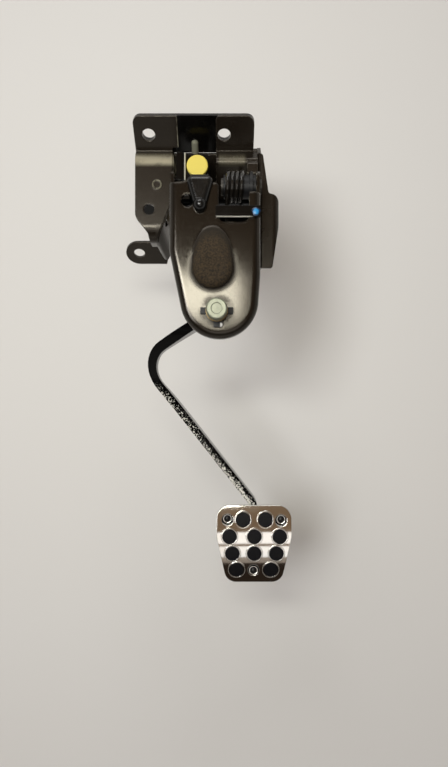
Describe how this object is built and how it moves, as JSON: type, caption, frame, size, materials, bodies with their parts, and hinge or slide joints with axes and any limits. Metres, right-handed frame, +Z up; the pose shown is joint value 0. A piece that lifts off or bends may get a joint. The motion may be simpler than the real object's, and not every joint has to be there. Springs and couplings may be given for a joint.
{
  "type": "clutch pedal",
  "caption": "Hanging clutch pedal of a car with its pressed steel bracket, return spring, adjustable stopper and studded metal pad.",
  "frame": {"origin": "midway between the two upper bolt holes, on the rear mounting face that lies on the bulkhead", "axes": "+X to the right as the driver sees it, +Y forward into the bulkhead, +Z up"},
  "size_m": [0.1283, 0.2091, 0.2629],
  "materials": {
    "bracket_coat": "semi-gloss brown-black electrocoat",
    "plate_coat": "semi-gloss brown-black electrocoat with bright worn edges",
    "black_gloss": "glossy black paint",
    "arm_paint": "glossy black paint, chipped along the front edge",
    "zinc": "dull zinc plating",
    "yellow_zinc": "yellow zinc plating",
    "raw_steel": "oiled steel",
    "spring_steel": "black oiled spring steel",
    "bush_nylon": "natural nylon",
    "black_plastic": "black moulded plastic",
    "clip_rubber": "shiny black rubber",
    "yellow_plastic": "satin yellow plastic",
    "cushion_rubber": "black rubber",
    "pad_backing": "black paint",
    "pad_rubber": "black rubber studs",
    "pad_steel": "satin stainless steel",
    "rivet_black": "black rivets"
  },
  "bodies": {
    "bracket": {"back_plate": "black_gloss", "bracket_left": "bracket_coat", "bracket_right": "bracket_coat", "front_plate": "plate_coat", "spring_strap": "black_gloss", "pivot_bolt": "yellow_zinc", "pivot_nut": "yellow_zinc", "pivot_sleeve": "raw_steel", "spring_post": "raw_steel", "spring_spool": "black_plastic", "edge_clip": "clip_rubber", "stopper_bolt": "zinc", "stopper_washer": "yellow_zinc", "stopper_collar": "black_plastic", "stopper_weld_nut": "raw_steel", "torsion_spring": "spring_steel"},
    "pedal": {"pedal_arm": "arm_paint", "hub_tube": "arm_paint", "bush_left": "bush_nylon", "bush_right": "bush_nylon", "switch_lever": "black_gloss", "switch_pad": "yellow_plastic", "stop_cushion": "cushion_rubber", "pad_plate": "pad_backing", "pad_rubber": "pad_rubber", "pad_cover": "pad_steel", "pad_rivets": "rivet_black"}
  },
  "joints": [
    {"name": "pedal_pivot", "type": "hinge", "parent": "bracket", "child": "pedal", "pos_m": [0.0205, -0.03212, -0.04262], "axis": [1, 0, 0], "range_deg": [0, 30], "stiffness_Nm_per_rad": 2.5, "springref_deg": -34.38, "deforming": ["torsion_spring"]}
  ]
}
